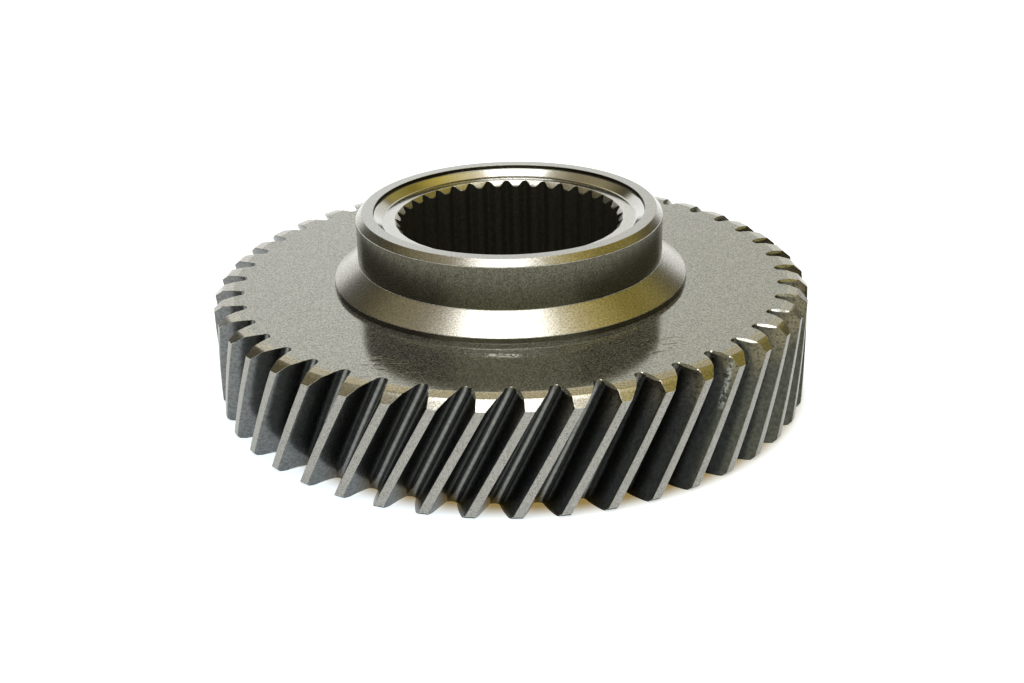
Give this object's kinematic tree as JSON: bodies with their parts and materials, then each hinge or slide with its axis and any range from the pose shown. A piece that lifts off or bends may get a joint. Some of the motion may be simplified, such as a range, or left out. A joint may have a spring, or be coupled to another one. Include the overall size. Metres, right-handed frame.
{
  "type": "helical gear",
  "caption": "Steel gear with right-hand helical teeth, a flared hub with a recessed rim, and a splined bore for a shaft.",
  "frame": {"origin": "centre of the bore in the plain side face that the gear rests on", "axes": "+Z along the bore towards the hub, +X through the middle of a spline groove"},
  "size_m": [0.119, 0.119, 0.0373],
  "materials": {
    "machined_steel": "ground faces, turned hub and cut teeth, lightly oiled"
  },
  "bodies": {
    "root": {"helical_gear": "machined_steel"}
  },
  "joints": []
}
